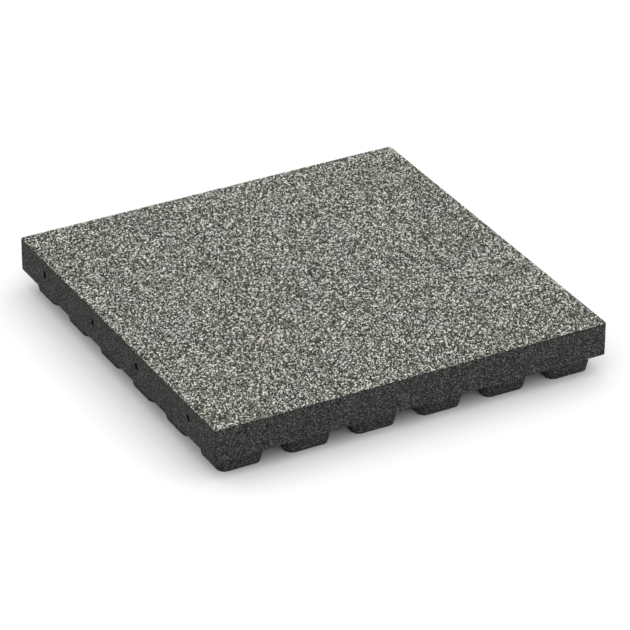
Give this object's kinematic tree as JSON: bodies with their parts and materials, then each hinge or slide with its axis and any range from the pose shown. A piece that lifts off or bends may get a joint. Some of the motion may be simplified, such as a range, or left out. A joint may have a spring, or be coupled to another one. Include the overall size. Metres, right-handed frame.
{
  "type": "rubber safety tile",
  "caption": "Square pressed rubber granulate tile with a speckled grey wear face, tapered drainage feet underneath and round dowel sockets in opposite edges.",
  "frame": {"origin": "centre of the base, on the ground that the feet stand on", "axes": "+Z out of the wear face; -X and +X out of the edges with dowel sockets; -Y and +Y out of the plain edges"},
  "size_m": [0.5, 0.5, 0.065],
  "materials": {
    "rubber_granulate": "matt, fine open grain",
    "speckled_granulate": "matt, coarse beige and grey granules in a dark binder"
  },
  "bodies": {
    "root": {"tile": "rubber_granulate"}
  },
  "joints": []
}
